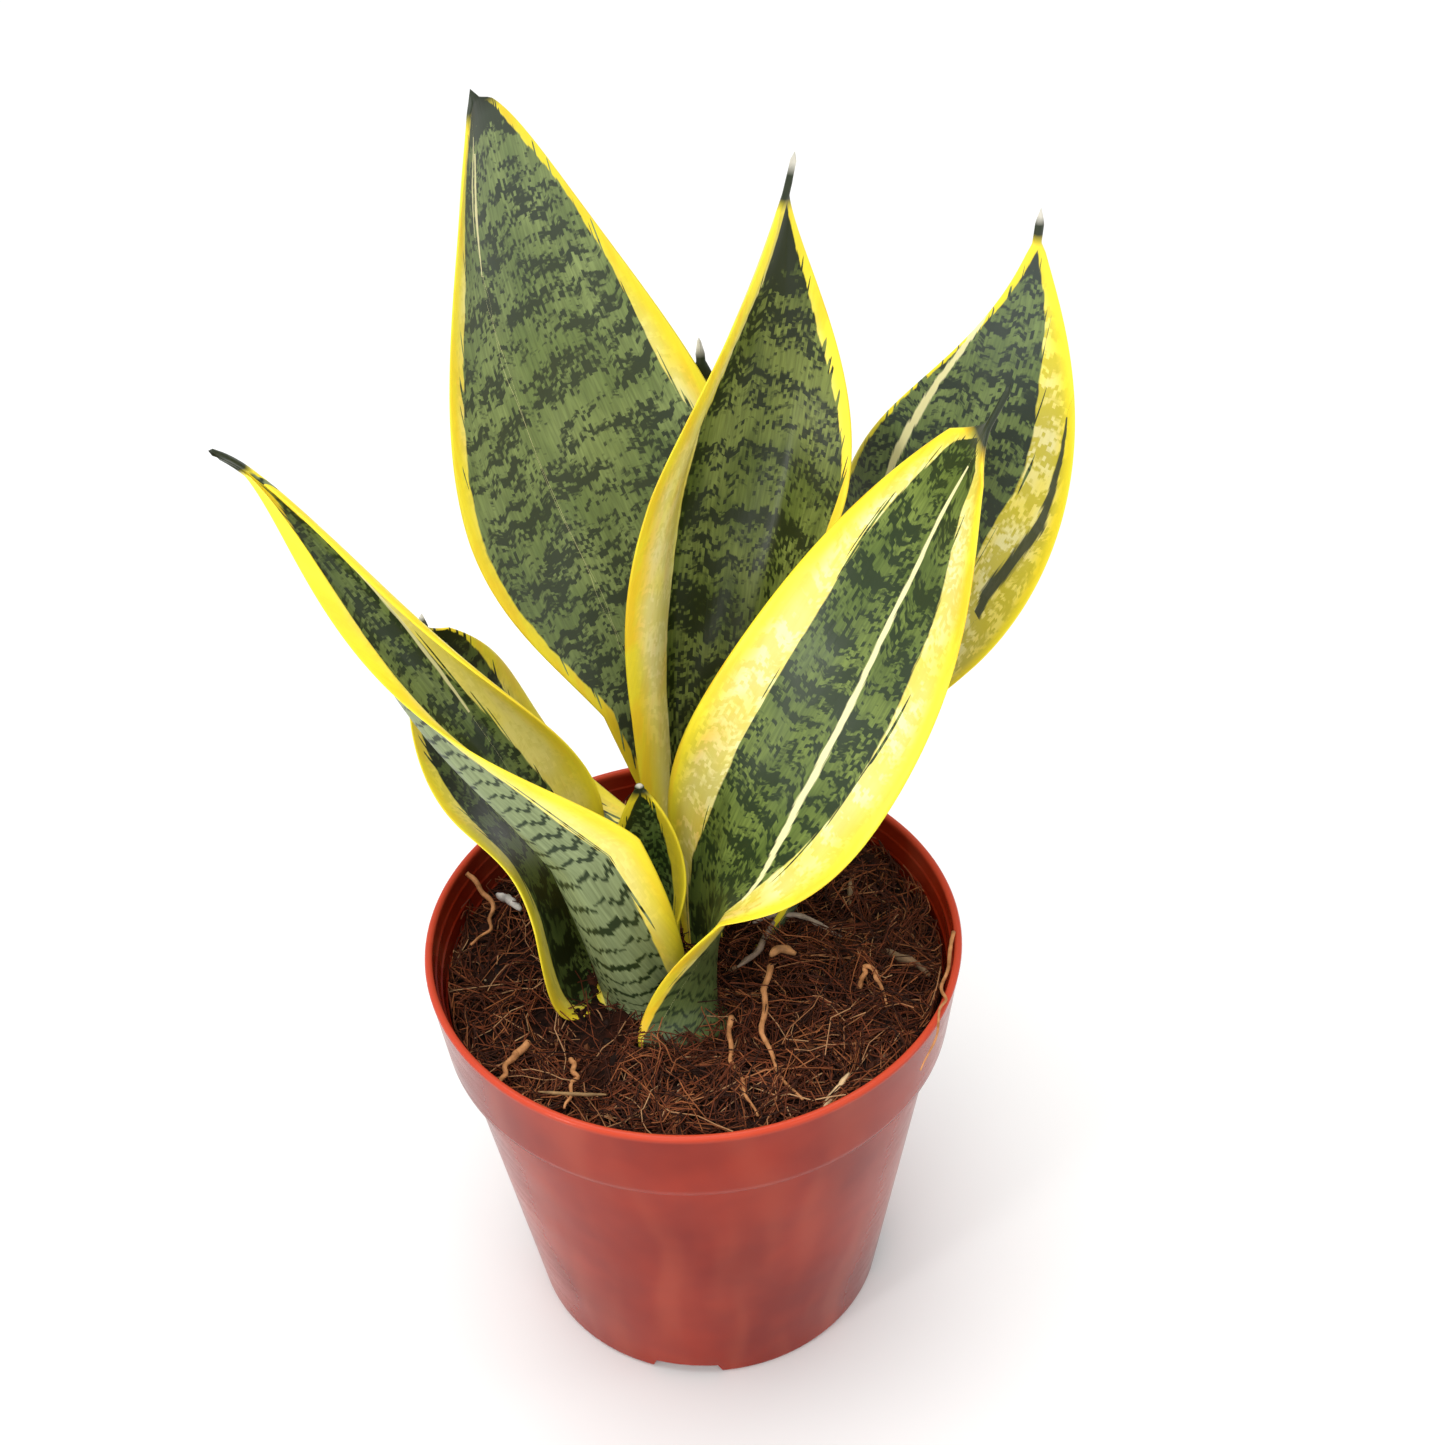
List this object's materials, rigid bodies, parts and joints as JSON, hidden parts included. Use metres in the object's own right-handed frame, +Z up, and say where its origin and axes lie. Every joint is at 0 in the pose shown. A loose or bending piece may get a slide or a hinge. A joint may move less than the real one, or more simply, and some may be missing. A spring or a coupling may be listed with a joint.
{
  "type": "potted snake plant",
  "caption": "Variegated snake plant with broad cupped leaves standing in a tapered round nursery pot filled with coir.",
  "frame": {"origin": "centre of the pot's base, on the flat hub between the drainage channels, which stands on the surface", "axes": "+Z up along the pot's axis, -Y towards the front, +X to the right seen from the front"},
  "size_m": [0.1541, 0.1214, 0.257],
  "materials": {
    "pot": "satin terracotta-red moulded polypropylene",
    "soil": "loose damp coconut coir",
    "rhizome": "pale matte rhizome skin",
    "leaf": "waxy leaf, dark green bands and yellow margins",
    "root": "dry tan root"
  },
  "bodies": {
    "root": {"pot": "pot", "soil": "soil", "rhizome": "rhizome", "leaf_rear_left": "leaf", "leaf_middle": "leaf", "leaf_right_rear": "leaf", "leaf_right_front": "leaf", "leaf_left_long": "leaf", "leaf_left_outer": "leaf", "leaf_young": "leaf", "leaf_rear_hidden": "leaf", "root_hanging_left": "root", "root_long": "root", "root_front": "root", "root_hook": "root", "root_right": "root", "root_left_front": "root", "root_stub_left": "root"}
  },
  "joints": []
}
